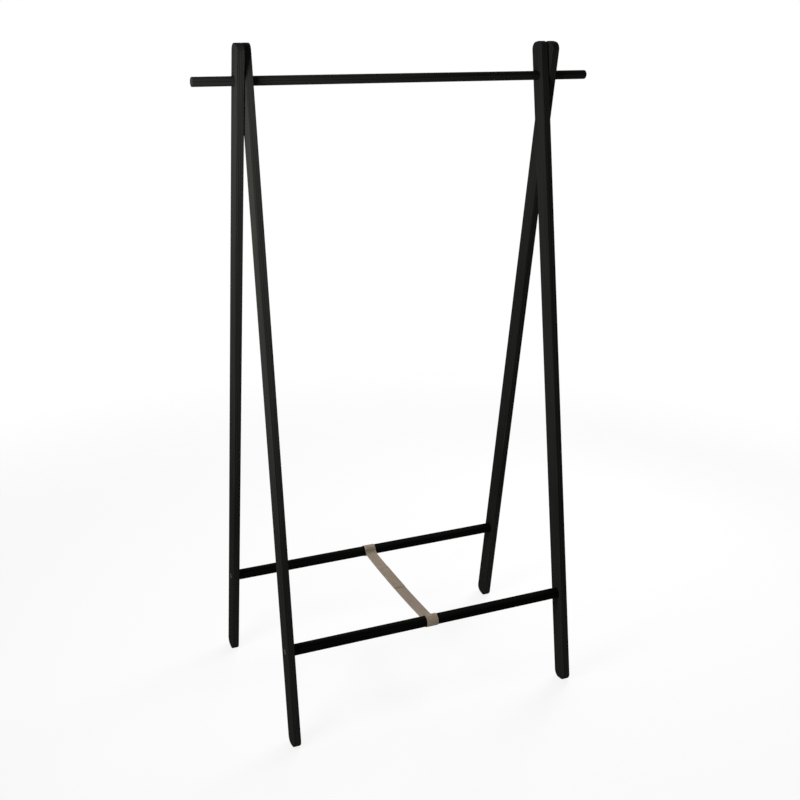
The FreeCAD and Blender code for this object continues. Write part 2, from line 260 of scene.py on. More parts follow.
def paint(piece: bpy.types.Object, material: bpy.types.Material) -> None:
    """Gives a piece one material in place of those that it has."""
    piece.data.materials.clear()
    piece.data.materials.append(material)


@dataclass(frozen=True)
class Member(ABC):
    """Where a wooden member lies. Its own axes run through its thickness, its width and its length.

    Attributes:
        origin: a point on its centreline.
        turn: the turns about X, Y and Z that bring the world's axes to its own.
        pith: the tree's heart, on the member's two cross axes.
    """

    origin: Triple
    turn: Triple
    pith: Pair

    @abstractmethod
    def exposed(self, axes: Shade, reach: float) -> Shade:
        """Where it gets rubbed, from 0 to 1, within a reach of its edges."""


@dataclass(frozen=True)
class Board(Member):
    """A board, which gets rubbed along its four corners.

    Attributes:
        half_thickness: half its thickness.
        half_width: half its width.
    """

    half_thickness: float
    half_width: float

    def exposed(self, axes: Shade, reach: float) -> Shade:
        """Where it gets rubbed, from 0 to 1, within a reach of its corners."""
        through = abs(axes).rise(self.half_thickness - reach, self.half_thickness)
        return through * abs(axes.out("Y")).rise(self.half_width - reach, self.half_width)


@dataclass(frozen=True)
class Bar(Member):
    """A round bar, which gets rubbed at its two ends.

    Attributes:
        half_length: how far it reaches from its origin, both ways.
    """

    half_length: float

    def exposed(self, axes: Shade, reach: float) -> Shade:
        """Where it gets rubbed, from 0 to 1, within a reach of its ends."""
        return abs(axes.out("Z")).rise(self.half_length - reach, self.half_length)


@dataclass(frozen=True)
class StainedWood:
    """Open-pored wood under black stain and satin lacquer, rubbed brown here and there at its edges.

    Its cells are counted to the metre, through the member's thickness, its width and its length.

    Attributes:
        deep: the stain in the soft wood between the growth rings.
        thin: the stain on the hard wood of the rings.
        rubbed: the wood that shows where an edge is worn.
        roughness: the lacquer's roughness where the stain is deep.
        specular: the lacquer's level of reflection.
        ring_step: the distance between two growth rings.
        wander: how far the rings stray along the grain.
        wander_cells: the cells of that straying.
        fibre_cells: the cells of the wood's fibres.
        fibre_detail: the number of finer layers in the fibres.
        pore_cells: the cells of its pores.
        pore_detail: the number of finer layers in the pores.
        pore_range: the noise over which wood turns to pore.
        cloud_cells: the cells of the stain's clouds.
        stain_shares: what fibres, rings and clouds each add to the stain's thinness.
        stain_range: the sums over which deep stain turns to thin.
        edge_width: how far wear reaches in from an edge.
        wear: how much of the stain is gone where the wear is deepest.
        wear_cells: the cells of the worn patches.
        wear_range: the noise over which sound stain turns to a worn patch.
        rough_shares: what fibres, pores and wear each add to the roughness.
        relief_shares: what fibres, rings and the wood between the pores each add to the relief.
        relief: the relief's depth.
    """

    deep: Colour
    thin: Colour
    rubbed: Colour
    roughness: float
    specular: float
    ring_step: float = 0.0024
    wander: float = 0.009
    wander_cells: Triple = (7.0, 7.0, 0.9)
    fibre_cells: Triple = (640.0, 640.0, 7.0)
    fibre_detail: float = 3.0
    pore_cells: Triple = (1500.0, 1500.0, 52.0)
    pore_detail: float = 1.0
    pore_range: Pair = (0.58, 0.70)
    cloud_cells: Triple = (11.0, 11.0, 2.4)
    stain_shares: Triple = (0.46, 0.24, 0.30)
    stain_range: Pair = (0.28, 0.72)
    edge_width: float = 0.0030
    wear: float = 0.6
    wear_cells: Triple = (30.0, 30.0, 9.0)
    wear_range: Pair = (0.54, 0.70)
    rough_shares: Triple = (0.16, 0.12, -0.10)
    relief_shares: Triple = (0.55, 0.15, 0.45)
    relief: float = 0.00012

    def shaded_copy(self, share: float) -> StainedWood:
        """A copy of the finish with its stain colours times a share, which paints shade on the wood where
        the share is below 1.
        """
        return replace(self, deep=scaled(self.deep, share), thin=scaled(self.thin, share))

    def dress(self, piece: bpy.types.Object, member: Member) -> None:
        """Finishes one wooden piece.

        Args:
            piece: the piece's object.
            member: where it lies and which way its grain runs.
        """
        material, recipe = new_material(f"{piece.name}_stained_wood")
        turn = tuple(math.radians(angle) for angle in member.turn)
        inputs = {"Vector": recipe.coordinates("Object"), "Location": member.origin, "Rotation": turn}
        own = recipe.node("ShaderNodeMapping", {"vector_type": "TEXTURE"}, inputs)
        fibre = recipe.noise(own, self.fibre_cells, self.fibre_detail)
        pores = recipe.noise(own, self.pore_cells, self.pore_detail).rise(*self.pore_range)
        cloud = recipe.noise(own, self.cloud_cells)
        rings = self._rings(recipe, own, member)
        worn = self._wear(recipe, own, member)
        thinness = total(self.stain_shares, (fibre, rings, cloud)).rise(*self.stain_range)
        stain = recipe.mix(thinness, self.deep, self.thin)
        height = total(self.relief_shares, (fibre, rings, 1 - pores))
        recipe.end(
            {
                "Base Color": recipe.mix(worn, stain, self.rubbed),
                "Roughness": self.roughness + total(self.rough_shares, (fibre, pores, worn)),
                "Specular IOR Level": self.specular,
                "Normal": recipe.bump(height, self.relief),
            }
        )
        paint(piece, material)
        LOG.info("dressed %s in stained wood", piece.name)

    def _rings(self, recipe: Recipe, own: Shade, member: Member) -> Shade:
        """Makes growth rings about the tree's heart, which wander along the grain.

        Args:
            recipe: the material's nodes.
            own: a point's place on the member's own axes.
            member: the wooden member.

        Returns:
            A shade from 0 between the rings to 1 on them.
        """
        axes = recipe.axes(own)
        through, across = member.pith
        from_heart = distance(axes - through, axes.out("Y") - across)
        bent = from_heart + self.wander * recipe.noise(own, self.wander_cells)
        return bent.waves(self.ring_step)

    def _wear(self, recipe: Recipe, own: Shade, member: Member) -> Shade:
        """Rubs the stain away in patches, where the member is exposed.

        Args:
            recipe: the material's nodes.
            own: a point's place on the member's own axes.
            member: the wooden member.

        Returns:
            A shade from 0 on sound stain to 1 on bare wood.
        """
        exposed = member.exposed(recipe.axes(own), self.edge_width)
        patches = recipe.noise(own, self.wear_cells).rise(*self.wear_range)
        return self.wear * exposed * patches


@dataclass(frozen=True)
class Webbing:
    """Plain-woven webbing with firm, lighter selvedges, and light painted on the outside of its loops. Its
    UV map runs across and along it.

    Its cells are counted to the metre, across and along it.

    Attributes:
        hollow: the yarn's colour between the crossings, darker there as painted shade.
        crown: its colour where a yarn comes to the top, lighter there as painted light.
        selvedge: the edges' colour.
        selvedge_width: how far a selvedge reaches in from its edge.
        selvedge_share: how much of the selvedge's colour shows on the very edge.
        warp_step: the distance between two yarns across the width.
        weft_step: the distance between two yarns along the length.
        yarn_cells: the cells of the yarn's fibres.
        blotch_cells: the cells of the dye's blotches.
        tone_shares: what weave, fibres and blotches each add to the tone; the weave's part is painted shade
            in the hollows and painted light on the crowns.
        tone_range: the sums over which the colour goes from hollow to crown.
        loop_light_gain: how much lighter the yarn is made on the loops, as painted light.
        loop_light_core: how far from a loop's outermost spot the painted light is full.
        loop_light_reach: how far from there the painted light reaches at all.
        roughness: the roughness in the hollows.
        crown_gloss: how much less rough the crowns are.
        specular: the yarn's level of reflection.
        sheen: the weight of its soft sheen.
        relief_shares: what weave and fibres each add to the relief.
        relief: the relief's depth.
    """

    hollow: Colour
    crown: Colour
    selvedge: Colour
    selvedge_width: float = 0.0016
    selvedge_share: float = 0.6
    warp_step: float = 0.0011
    weft_step: float = 0.0013
    yarn_cells: Triple = (900.0, 110.0, 1.0)
    blotch_cells: Triple = (60.0, 24.0, 1.0)
    tone_shares: Triple = (0.45, 0.30, 0.25)
    tone_range: Pair = (0.22, 0.78)
    loop_light_gain: float = 1.7
    loop_light_core: float = 0.002
    loop_light_reach: float = 0.016
    roughness: float = 0.86
    crown_gloss: float = 0.08
    specular: float = 0.2
    sheen: float = 0.12
    relief_shares: Pair = (0.7, 0.3)
    relief: float = 0.00022

    def dress(self, piece: bpy.types.Object, width: float, length: float, loops: Pair) -> None:
        """Finishes one length of webbing.

        Args:
            piece: the webbing's object.
            width: its width.
            length: its cut length.
            loops: how far along it the outermost spots of its two loops lie.
        """
        material, recipe = new_material(f"{piece.name}_webbing")
        flat = recipe.stretched(recipe.coordinates("UV"), (width, length, 1.0))
        axes = recipe.axes(flat)
        warp = (axes * (math.pi / self.warp_step)).sine()
        weft = (axes.out("Y") * (math.pi / self.weft_step)).sine()
        weave = HALF + HALF * warp * weft
        fibre = recipe.noise(flat, self.yarn_cells)
        blotch = recipe.noise(flat, self.blotch_cells)
        # The weave's share of the tone is painted shade in the hollows and painted light on the crowns
        tone = total(self.tone_shares, (weave, fibre, blotch)).rise(*self.tone_range)
        weave_colour = recipe.mix(tone, self.hollow, self.crown)
        # A lighter copy of the weave's colour, painted light for the loops
        pale = recipe.mix(tone, scaled(self.hollow, self.loop_light_gain), scaled(self.crown, self.loop_light_gain))
        woven = recipe.mix(self._loop_light(axes.out("Y"), loops), weave_colour, pale)
        from_middle = abs(axes - HALF * width)
        edge = from_middle.rise(HALF * width - self.selvedge_width, HALF * width)
        recipe.end(
            {
                "Base Color": recipe.mix(self.selvedge_share * edge, woven, self.selvedge),
                "Roughness": self.roughness - self.crown_gloss * weave,
                "Specular IOR Level": self.specular,
                "Sheen Weight": self.sheen,
                "Normal": recipe.bump(total(self.relief_shares, (weave, fibre)), self.relief),
            }
        )
        paint(piece, material)
        LOG.info("dressed %s in webbing", piece.name)

    def _loop_light(self, travel: Shade, loops: Pair) -> Shade:
        """How much painted light the webbing gets, from 0 to 1: on the outside of each loop."""
        first, last = (1 - abs(travel - spot).rise(self.loop_light_core, self.loop_light_reach) for spot in loops)
        return first.larger(last)


@dataclass(frozen=True)
class SewingThread:
    """Twisted thread in the webbing's own colour.

    Attributes:
        shaded: the colour between its strands.
        lit: the colour on top of them.
        twist_cells: the strands' cells to the metre, along each axis.
        twist_range: the noise over which the colour goes from shaded to lit.
        roughness: the roughness between the strands.
        rough_share: how much rougher their tops are.
        relief: the relief's depth.
    """

    shaded: Colour
    lit: Colour
    twist_cells: Triple = (2600.0, 2600.0, 2600.0)
    twist_range: Pair = (0.3, 0.7)
    roughness: float = 0.6
    rough_share: float = 0.2
    relief: float = 0.00008

    def dress(self, piece: bpy.types.Object) -> None:
        """Finishes some stitches.

        Args:
            piece: the stitches' object.
        """
        material, recipe = new_material(f"{piece.name}_thread")
        twist = recipe.noise(recipe.coordinates("Object"), self.twist_cells)
        recipe.end(
            {
                "Base Color": recipe.mix(twist.rise(*self.twist_range), self.shaded, self.lit),
                "Roughness": self.roughness + self.rough_share * twist,
                "Normal": recipe.bump(twist, self.relief),
            }
        )
        paint(piece, material)
        LOG.info("dressed %s in thread", piece.name)


@dataclass(frozen=True)
class Hardware:
    """Turned metal or pressed fibre, with fine lathe lines about an axis along X.

    Attributes:
        name: what it is made of, for its materials' names.
        dark: the colour in the lines, darker there as painted shade.
        light: the colour on their ridges, lighter there as painted light.
        metallic: 1 for metal, 0 for fibre.
        roughness: the roughness where there are no specks.
        rough_share: how much rougher the specks are.
        line_step: the distance between two lines.
        speck_cells: the specks' cells to the metre, along each axis.
        tone_shares: what lines and specks each add to the tone; the lines' part is painted shade in the
            grooves and painted light on the ridges.
        tone_range: the sums over which the colour goes from dark to light.
        relief: the lines' depth.
    """

    name: str
    dark: Colour
    light: Colour
    metallic: float
    roughness: float
    rough_share: float = 0.15
    line_step: float = 0.0005
    speck_cells: Triple = (1800.0, 1800.0, 1800.0)
    tone_shares: Pair = (0.5, 0.5)
    tone_range: Pair = (0.2, 0.8)
    relief: float = 0.00003

    def dress(self, piece: bpy.types.Object, axis_y: float, axis_z: float) -> None:
        """Finishes one turned piece.

        Args:
            piece: the piece's object.
            axis_y: the Y of the axis that it was turned about.
            axis_z: the Z of that axis.
        """
        material, recipe = new_material(f"{piece.name}_{self.name}")
        place = recipe.coordinates("Object")
        axes = recipe.axes(place)
        travel = axes + distance(axes.out("Y") - axis_y, axes.out("Z") - axis_z)
        lines = travel.waves(self.line_step)
        specks = recipe.noise(place, self.speck_cells)
        # The lines' share of the tone is painted shade in the grooves and painted light on the ridges
        tone = total(self.tone_shares, (lines, specks)).rise(*self.tone_range)
        recipe.end(
            {
                "Base Color": recipe.mix(tone, self.dark, self.light),
                "Metallic": self.metallic,
                "Roughness": self.roughness + self.rough_share * specks,
                "Normal": recipe.bump(lines, self.relief),
            }
        )
        paint(piece, material)
        LOG.info("dressed %s in %s", piece.name, self.name)


class Side(Enum):
    """The stand's two sides, seen from the front."""

    LEFT = "left"
    RIGHT = "right"


LEG_WOOD = StainedWood(
    deep=(0.0130, 0.0128, 0.0118),
    thin=(0.0310, 0.0306, 0.0280),
    rubbed=(0.0480, 0.0400, 0.0320),
    roughness=0.50,
    specular=0.0005,
)
RAIL_WOOD = StainedWood(
    deep=(0.0100, 0.0099, 0.0092),
    thin=(0.0224, 0.0221, 0.0204),
    rubbed=(0.0260, 0.0240, 0.0210),
    roughness=0.40,
    specular=0.001,
)
STRETCHER_WOOD = StainedWood(
    deep=(0.0018, 0.0018, 0.0017),
    thin=(0.0056, 0.0055, 0.0050),
    rubbed=(0.0140, 0.0120, 0.0100),
    roughness=0.50,
    specular=0.002,
)
STRAP_WEBBING = Webbing(
    hollow=(0.150, 0.115, 0.083),
    crown=(0.300, 0.240, 0.181),
    selvedge=(0.400, 0.334, 0.262),
)
STRAP_THREAD = SewingThread(shaded=(0.150, 0.120, 0.092), lit=(0.280, 0.230, 0.180))
WASHER_FIBRE = Hardware(
    name="fibre",
    dark=(0.008, 0.008, 0.008),
    light=(0.022, 0.022, 0.021),
    metallic=0.0,
    roughness=0.7,
)
BOLT_STEEL = Hardware(
    name="black_steel",
    dark=(0.008, 0.008, 0.008),
    light=(0.022, 0.022, 0.023),
    metallic=1.0,
    roughness=0.45,
)
INSERT_BRASS = Hardware(
    name="brass",
    dark=(0.36, 0.25, 0.10),
    light=(0.62, 0.46, 0.20),
    metallic=1.0,
    roughness=0.30,
)
# Shares that darken the stain of each leg of the two frames, as painted shade on the legs that get less
# light
FRONT_LEG_SHADE = {Side.LEFT: 1.00, Side.RIGHT: 0.90}
BACK_LEG_SHADE = {Side.LEFT: 0.80, Side.RIGHT: 0.84}


def middle(node: str) -> Vector:
    """The middle of a node's box."""
    low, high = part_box(node)
    return (low + high) * HALF


@dataclass
class LegFrame:
    """One ladder-like frame: two legs, a stretcher, and the bolts and sleeves that join them.

    Attributes:
        name: front or back, as in its nodes' names.
        nodes: the stand's nodes.
        pivot_height: the height of the rail's axis, where the legs cross.
        shade_shares: the share that each leg's stain colours are multiplied by, as painted shade on the
            darker legs.
        leg_width: a leg's width across its broad face.
        leg_heart: the heart of a leg's tree, on the leg's two cross axes.
        bar_heart: the heart of the stretcher's tree, on its two cross axes.
    """

    name: str
    nodes: Mapping[str, bpy.types.Object]
    pivot_height: float
    shade_shares: Mapping[Side, float]
    leg_width: float = 0.042
    leg_heart: Pair = (0.034, 0.062)
    bar_heart: Pair = (0.021, 0.017)

    def dress(self) -> None:
        """Finishes all pieces of the frame."""
        bar = middle(f"{self.name}_stretcher")
        self._dress_stretcher(bar)
        for side in Side:
            self._dress_leg(side, bar)
            for finish, piece in ((BOLT_STEEL, "bolt"), (INSERT_BRASS, "insert")):
                finish.dress(self.nodes[f"{self.name}_{side.value}_{piece}"], bar.y, bar.z)

    def _dress_stretcher(self, bar: Vector) -> None:
        """Finishes the round bar between the legs.

        Args:
            bar: the middle of the stretcher.
        """
        name = f"{self.name}_stretcher"
        _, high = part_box(name)
        STRETCHER_WOOD.dress(self.nodes[name], Bar(tuple(bar), ALONG_X, self.bar_heart, high.x))

    def _dress_leg(self, side: Side, bar: Vector) -> None:
        """Finishes one leg, with its grain along the leg's slant and its stain darkened as painted shade.

        Args:
            side: the side that the leg stands on.
            bar: the middle of the stretcher, in line with the leg's slant.
        """
        name = f"{self.name}_{side.value}_leg"
        low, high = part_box(name)
        slant = math.degrees(math.atan2(bar.y, self.pivot_height - bar.z))
        mirror = -1 if side is Side.LEFT else 1
        through, across = self.leg_heart
        member = Board(
            origin=(HALF * (low.x + high.x), 0.0, self.pivot_height),
            turn=(slant, 0.0, 0.0),
            pith=(mirror * through, mirror * across),
            half_thickness=HALF * (high.x - low.x),
            half_width=HALF * self.leg_width,
        )
        # The leg's stain is darkened by its share, as painted shade
        LEG_WOOD.shaded_copy(self.shade_shares[side]).dress(self.nodes[name], member)


@dataclass
class Pivot:
    """The hanging rail, with the washers and the pins where the legs cross on it.

    Attributes:
        nodes: the stand's nodes.
        heart: the heart of the tree of the rail and the pins, on their two cross axes.
    """

    nodes: Mapping[str, bpy.types.Object]
    heart: Pair = (0.016, 0.024)

    def dress(self) -> None:
        """Finishes the rail, its washers and its pins."""
        _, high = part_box("hanging_rail")
        axis = middle("hanging_rail")
        RAIL_WOOD.dress(self.nodes["hanging_rail"], Bar(tuple(axis), ALONG_X, self.heart, high.x))
        for side in Side:
            WASHER_FIBRE.dress(self.nodes[f"{side.value}_pivot_washer"], axis.y, axis.z)
            self._dress_pin(f"{side.value}_rail_pin")

    def _dress_pin(self, name: str) -> None:
        """Finishes one of the pins that hold the rail in the outer legs.

        Args:
            name: the pin's node.
        """
        low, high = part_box(name)
        reach = HALF * (high.y - low.y)
        RAIL_WOOD.dress(self.nodes[name], Bar(tuple(middle(name)), ALONG_Y, self.heart, reach))


class Turn(Enum):
    """Which way a bend goes, for someone who walks along it."""

    LEFT = 1
    RIGHT = -1


@dataclass(frozen=True)
class Bend:
    """One round stretch of the strap's path, seen along the stretchers. A spot there is Y + Z i.

    Attributes:
        centre: the middle of the bend.
        radius: its radius.
        start: the bearing from the centre to the bend's start, in radians.
        sweep: the angle that it turns through, in radians, which is below 0 to the right.
    """

    centre: complex
    radius: float
    start: float
    sweep: float

    @classmethod
    def between(cls, centre: complex, radius: float, start: float, end: float, turn: Turn) -> Bend:
        """A bend from one bearing to another, both in radians."""
        way = turn.value
        return cls(centre, radius, start, way * (way * (end - start) % FULL_TURN))

    @property
    def length(self) -> float:
        """Length along the bend."""
        return self.radius * abs(self.sweep)

    def spot(self, travel: float) -> complex:
        """The spot this far along the bend."""
        return self.centre + cmath.rect(self.radius, self.start + self.sweep * travel / self.length)

    def mirrored(self) -> Bend:
        """The same bend on the strap's other half, walked the other way."""
        return Bend(-self.centre.conjugate(), self.radius, math.pi - self.start - self.sweep, self.sweep)


def bearing(first: complex, last: complex) -> float:
    """The angle of the way from one spot to another, in radians."""
    return cmath.phase(last - first)


def crossing(first: complex, first_radius: float, last: complex, last_radius: float) -> complex:
    """Finds where two circles cross.

    Args:
        first: the first circle's centre.
        first_radius: its radius.
        last: the last circle's centre.
        last_radius: its radius.

    Returns:
        The crossing on the left of the way from the first centre to the last.
    """
    way = last - first
    gap = abs(way)
    along = (first_radius**2 - last_radius**2 + gap**2) / (2 * gap)
    return first + way / gap * complex(along, math.sqrt(first_radius**2 - along**2))


def eased(share: float) -> float:
    """A share from 0 to 1 that starts and stops gently."""
    return share * share * (3 - 2 * share)


@dataclass
class Strap:
    """A ring of webbing round both stretchers, sewn flat between them, where its two ends overlap.

    Its path starts at the outer end, on top of the overlap, and goes round the back stretcher, along the
    underside and round the front stretcher to the inner end.

    Attributes:
        bar: the back stretcher's axis, which the front one mirrors.
        loop_radius: the radius of a loop at the middle of the webbing's thickness.
        width: the webbing's width.
        thickness: its thickness at the selvedges.
        play: the gap between a loop and its stretcher.
        drop: how far the seam between the layers starts below the stretchers' axes.
        sag: how far the strap's middle hangs below its ends.
        corner_radius: the bend where a loop closes.
        outer_end: the Y of the webbing's outer end.
        inner_end: the Y of its inner end.
        ramp: the length in which the outer layer comes down behind the inner end.
        pressed: the share of its thickness that it loses at its cut ends, which the seams press flat.
        press_reach: how far from a cut end that begins.
        row_step: the length of one row of faces.
        columns: the number of faces across the width.
        middle_thickness: the share of its thickness that it has between its selvedges.
        selvedge_power: how steeply the thickness rises towards a selvedge.
        least_thickness: the share of its thickness below which it never goes.
        rim_round: the rounding of its rim.
        rim_segments: the number of faces across that rounding.
        rim_angle: the least angle between two faces that counts as a rim.
        smooth_angle: the largest angle between two faces that is shaded smooth.
        seams: the Y of each row of stitches across the strap.
        seam_half_width: how far a row reaches to each side.
        stitch_step: the distance between two stitches.
        stitch_length: the length of one.
        thread_radius: the thread's radius.
        stitch_sides: the number of faces round a stitch, seen from above.
        stitch_rings: the number of faces from its top to its underside.
        still_reach: not used; how far inwards from a stretcher's axis the webbing was to stay with its
            frame.
    """

    bar: complex
    loop_radius: float
    width: float
    thickness: float = 0.0012
    play: float = 0.0003
    drop: float = 0.002
    sag: float = 0.0052
    corner_radius: float = 0.016
    outer_end: float = -0.014
    inner_end: float = 0.094
    ramp: float = 0.009
    pressed: float = 0.50
    press_reach: float = 0.009
    row_step: float = 0.0007
    columns: int = 14
    middle_thickness: float = 0.84
    selvedge_power: int = 12
    least_thickness: float = 0.30
    rim_round: float = 0.00022
    rim_segments: int = 3
    rim_angle: float = 60.0
    smooth_angle: float = 50.0
    seams: tuple[float, ...] = (-0.1640, -0.1605, -0.0110, -0.0075, 0.0870, 0.0905, 0.1605, 0.1640)
    seam_half_width: float = 0.0115
    stitch_step: float = 0.0031
    stitch_length: float = 0.0026
    thread_radius: float = 0.00042
    stitch_sides: int = 8
    stitch_rings: int = 6
    still_reach: float = 0.006

    @classmethod
    def from_frame(cls) -> Strap:
        """Reads the strap's place and sizes from the back stretcher and its own solid.

        Returns:
            The strap, laid close round the stretchers.
        """
        low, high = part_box("strap")
        bar_low, bar_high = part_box("back_stretcher")
        bar = middle("back_stretcher")
        bar_radius = HALF * (bar_high.z - bar_low.z)
        return cls(complex(bar.y, bar.z), bar_radius + cls.play + HALF * cls.thickness, high.x - low.x)

    def build(self) -> None:
        """Makes the webbing and its stitches, and finishes them."""
        webbing = self._make_webbing()
        stitches = self._make_stitches()
        STRAP_WEBBING.dress(webbing, self.width, self.cut_length, self.loop_spots)
        STRAP_THREAD.dress(stitches)
        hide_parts("strap")
        self.cut_length
        for piece in (webbing, stitches):
            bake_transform(piece)

    @property
    def seam_radius(self) -> float:
        """Radius of the arc in which the seam between the layers hangs."""
        return (self.bar.real**2 + self.sag**2) / (2 * self.sag)

    @property
    def hang(self) -> complex:
        """The middle of that arc."""
        return complex(0, self.bar.imag - self.drop - self.sag + self.seam_radius)

    @property
    def top_radius(self) -> float:
        """Radius of the upper layer's arc."""
        return self.seam_radius - HALF * self.thickness

    @property
    def under_radius(self) -> float:
        """Radius of the lower layer's arc."""
        return self.seam_radius + HALF * self.thickness

    @cached_property
    def path(self) -> list[Bend]:
        """Lays the webbing round both stretchers.

        Returns:
            Its bends, from its outer end to its inner end.
        """
        bar, hang, corner = self.bar, self.hang, self.corner_radius
        reach = self.loop_radius + corner
        upper = crossing(bar, reach, hang, self.top_radius - corner)
        lower = crossing(bar, reach, hang, self.under_radius + corner)
        high, low = bearing(hang, upper), bearing(hang, lower)
        ends = (self.outer_end, self.inner_end)
        first, last = (math.asin(y / self.top_radius) - HALF * math.pi for y in ends)
        back = [
            Bend.between(upper, corner, high, bearing(upper, bar), Turn.LEFT),
            Bend.between(bar, self.loop_radius, bearing(bar, upper), bearing(bar, lower), Turn.RIGHT),
            Bend.between(lower, corner, bearing(lower, bar), bearing(lower, hang), Turn.LEFT),
        ]
        front = [bend.mirrored() for bend in reversed(back)]
        outer = Bend.between(hang, self.top_radius, first, high, Turn.LEFT)
        under = Bend.between(hang, self.under_radius, low, math.pi - low, Turn.RIGHT)
        inner = Bend.between(hang, self.top_radius, math.pi - high, last, Turn.LEFT)
        return [outer, *back, under, *front, inner]

    @cached_property
    def cut_length(self) -> float:
        """Length that the webbing was cut to."""
        return sum(bend.length for bend in self.path)

    @property
    def loop_spots(self) -> Pair:
        """Finds the outermost spots of the two loops.

        Returns:
            How far along the webbing they lie.
        """
        travel, spots = 0.0, []
        for bend in self.path:
            if bend.radius == self.loop_radius:
                spots.append(travel + HALF * bend.length)
            travel += bend.length
        return tuple(spots)

    def lift(self, y: float) -> float:
        """How far the outer layer lies above the seam's upper layer: on the overlap, and less behind it."""
        share = min(max((y - self.inner_end) / self.ramp, 0.0), 1.0)
        return self.thickness * (1 - eased(share))

    def loss(self, travel: float) -> float:
        """The share of its thickness that the webbing has lost, this far along it from its outer end."""
        share = max(1 - min(travel, self.cut_length - travel) / self.press_reach, 0.0)
        return self.pressed * share * share

    def spot(self, travel: float) -> complex:
        """Finds a spot of the webbing, at the middle of its thickness.

        Args:
            travel: how far along the webbing it lies, from the outer end.

        Returns:
            The spot's Y + Z i.
        """
        sink = HALF * self.thickness * self.loss(travel)
        left = travel
        for bend in self.path:
            travel = left
            left -= bend.length
            if left <= 0:
                break
        place = bend.spot(travel) - complex(0, sink)
        return place + complex(0, self.lift(place.real)) if bend is self.path[0] else place

    def _make_webbing(self) -> bpy.types.Object:
        """Cuts the webbing flat, lays it along its path and gives it its thickness.

        Returns:
            The webbing's object, with its place in its mesh.
        """
        rows = round(self.cut_length / self.row_step)
        bpy.ops.object.select_all(action="DESELECT")
        bpy.ops.mesh.primitive_grid_add(x_subdivisions=self.columns, y_subdivisions=rows, size=1)
        webbing = bpy.context.object
        webbing.name = "webbing_strap"
        fullness = webbing.vertex_groups.new(name="fullness")
        flat = []
        for vertex in webbing.data.vertices:
            # Faces get narrower towards the selvedges, where the thickness changes
            across, along = eased(vertex.co.x + HALF), vertex.co.y + HALF
            flat.append((across, along))
            from_middle = 2 * across - 1
            travel = along * self.cut_length
            place = self.spot(travel)
            vertex.co = (HALF * self.width * from_middle, place.real, place.imag)
            rise = abs(from_middle) ** self.selvedge_power
            full = self.middle_thickness + (1 - self.middle_thickness) * rise
            left = full * (1 - self.loss(travel))
            weight = (left - self.least_thickness) / (1 - self.least_thickness)
            fullness.add([vertex.index], weight, "REPLACE")
        uv_map = webbing.data.uv_layers.active
        for corner in webbing.data.loops:
            uv_map.data[corner.index].uv = flat[corner.vertex_index]
        self._thicken(webbing)
        return webbing

    def _thicken(self, webbing: bpy.types.Object) -> None:
        """Gives the webbing its thickness, fuller at the selvedges, and rounds its rim.

        Args:
            webbing: the webbing's object, which is the active one.
        """
        solid = webbing.modifiers.new("thickness", "SOLIDIFY")
        solid.thickness = self.thickness
        solid.offset = 0
        solid.vertex_group = "fullness"
        solid.thickness_vertex_group = self.least_thickness
        rim = webbing.modifiers.new("rim", "BEVEL")
        rim.width = self.rim_round
        rim.segments = self.rim_segments
        rim.limit_method = "ANGLE"
        rim.angle_limit = math.radians(self.rim_angle)
        for modifier in (solid, rim):
            bpy.ops.object.modifier_apply(modifier=modifier.name)
        bpy.ops.object.shade_smooth_by_angle(angle=math.radians(self.smooth_angle))

    def _make_stitches(self) -> bpy.types.Object:
        """Sews rows of separate stitches across the strap, on its top and its underside.

        Returns:
            The object of all stitches, with their places in its mesh.
        """
        face = HALF * self.thickness * self.middle_thickness
        rows = []
        for y in self.seams:
            top = self.hang.imag - math.sqrt(self.top_radius**2 - y * y) + face
            under = self.hang.imag - math.sqrt(self.under_radius**2 - y * y) - face
            if y > self.outer_end:
                top += self.lift(y) - self.thickness * self.loss(y - self.outer_end)
            rows.append(self._sew_row(y, top))
            rows.append(self._sew_row(y, under))
        bpy.ops.object.select_all(action="DESELECT")
        for row in rows:
            row.select_set(True)
        bpy.context.view_layer.objects.active = rows[0]
        bpy.ops.object.join()
        stitches = bpy.context.object
        stitches.name = "strap_stitches"
        bpy.ops.object.shade_smooth()
        return stitches

    def _sew_row(self, y: float, z: float) -> bpy.types.Object:
        """Sews one row of stitches across the strap.

        Args:
            y: the row's place along the strap.
            z: the height of the face that it is sewn on.

        Returns:
            The row's object, with its place in its mesh.
        """
        count = round(2 * self.seam_half_width / self.stitch_step)
        bpy.ops.object.select_all(action="DESELECT")
        bpy.ops.mesh.primitive_uv_sphere_add(
            segments=self.stitch_sides, ring_count=self.stitch_rings, radius=self.thread_radius
        )
        row = bpy.context.object
        bpy.ops.object.mode_set(mode="EDIT")
        bpy.ops.transform.resize(value=(HALF * self.stitch_length / self.thread_radius, 1, 1))
        bpy.ops.object.mode_set(mode="OBJECT")
        repeat = row.modifiers.new("repeat", "ARRAY")
        repeat.count = count
        repeat.use_relative_offset = False
        repeat.use_constant_offset = True
        repeat.constant_offset_displace = (self.stitch_step, 0, 0)
        bpy.ops.object.modifier_apply(modifier=repeat.name)
        row.location = (HALF * (1 - count) * self.stitch_step, y, z)
        bpy.ops.object.transform_apply(location=True, rotation=True, scale=True)
        return row


